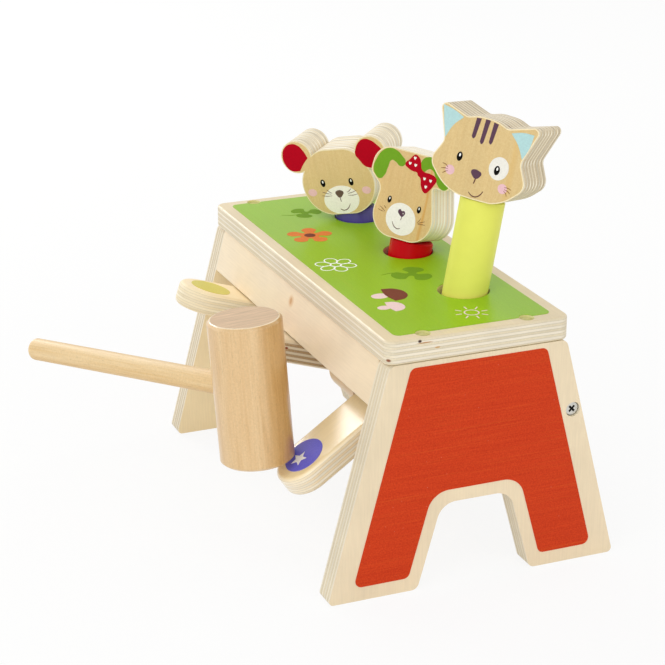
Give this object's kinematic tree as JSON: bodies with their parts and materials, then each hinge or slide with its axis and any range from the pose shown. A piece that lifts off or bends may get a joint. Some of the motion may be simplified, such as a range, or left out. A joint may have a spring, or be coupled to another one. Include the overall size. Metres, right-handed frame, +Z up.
{
  "type": "pounding bench",
  "caption": "Plywood pounding bench toy: a mallet strikes a see-saw lever under the bench, which lifts a painted peg with an animal's head through the top board.",
  "frame": {"origin": "middle of the whole toy's box in plan, mallet included, at the floor", "axes": "+X along the bench towards the struck lever, -Y towards the levers' struck ends and the mallet, +Z up"},
  "size_m": [0.2364, 0.2482, 0.223],
  "materials": {
    "birch_plywood": "clear satin lacquer",
    "beech": "clear satin lacquer",
    "screw_steel": "zinc plated",
    "green_print": "satin screen print",
    "orange_print": "satin screen print",
    "yellow_paint": "satin paint",
    "red_paint": "gloss paint",
    "violet_paint": "gloss paint",
    "yellow_dot": "satin screen print",
    "red_dot": "satin screen print",
    "violet_dot": "satin screen print"
  },
  "bodies": {
    "frame": {"top_board": "birch_plywood", "near_leg": "birch_plywood", "far_leg": "birch_plywood", "front_apron": "birch_plywood", "rear_rail": "birch_plywood", "axle": "beech", "inner_spacers": "beech", "end_spacers": "beech", "top_screws": "screw_steel", "rail_screws": "screw_steel", "top_print": "green_print", "near_leg_print": "orange_print", "far_leg_print": "orange_print"},
    "near_lever": {"near_lever": "birch_plywood", "near_dot": "violet_dot"},
    "middle_lever": {"middle_lever": "birch_plywood", "middle_dot": "red_dot"},
    "far_lever": {"far_lever": "birch_plywood", "far_dot": "yellow_dot"},
    "cat": {"cat_peg": "yellow_paint", "cat_head": "birch_plywood"},
    "dog": {"dog_peg": "red_paint", "dog_head": "birch_plywood"},
    "mouse": {"mouse_peg": "violet_paint", "mouse_head": "birch_plywood"},
    "mallet": {"mallet_head": "beech", "mallet_handle": "beech"}
  },
  "joints": [
    {"name": "mallet_lift", "type": "slide", "parent": "frame", "child": "mallet", "axis": [0, 0, 1], "range_m": [0, 0.12]},
    {"name": "near_lever_hinge", "type": "hinge", "parent": "frame", "child": "near_lever", "pos_m": [0.0655, 0.02289, 0.08], "axis": [1, 0, 0], "range_deg": [-52.53, 0]},
    {"name": "cat_slide", "type": "slide", "parent": "frame", "child": "cat", "axis": [-0.0578, 0.2086, 0.9763], "range_m": [-0.04044, 0]},
    {"name": "middle_lever_hinge", "type": "hinge", "parent": "frame", "child": "middle_lever", "pos_m": [0, 0.02289, 0.08], "axis": [1, 0, 0], "range_deg": [0, 52.53]},
    {"name": "dog_slide", "type": "slide", "parent": "frame", "child": "dog", "axis": [-0.0578, 0.2086, 0.9763], "range_m": [0, 0.04044]},
    {"name": "far_lever_hinge", "type": "hinge", "parent": "frame", "child": "far_lever", "pos_m": [-0.0655, 0.02289, 0.08], "axis": [1, 0, 0], "range_deg": [0, 52.53]},
    {"name": "mouse_slide", "type": "slide", "parent": "frame", "child": "mouse", "axis": [-0.1273, -0.1351, 0.9826], "range_m": [0, 0.04156]}
  ],
  "couplings": [
    {"joint": "near_lever_hinge", "follows": "mallet_lift", "rad_per_m": -7.64},
    {"joint": "cat_slide", "follows": "mallet_lift", "ratio": -0.33695},
    {"joint": "dog_slide", "follows": "middle_lever_hinge", "m_per_rad": 0.0441},
    {"joint": "mouse_slide", "follows": "far_lever_hinge", "m_per_rad": 0.04532}
  ]
}
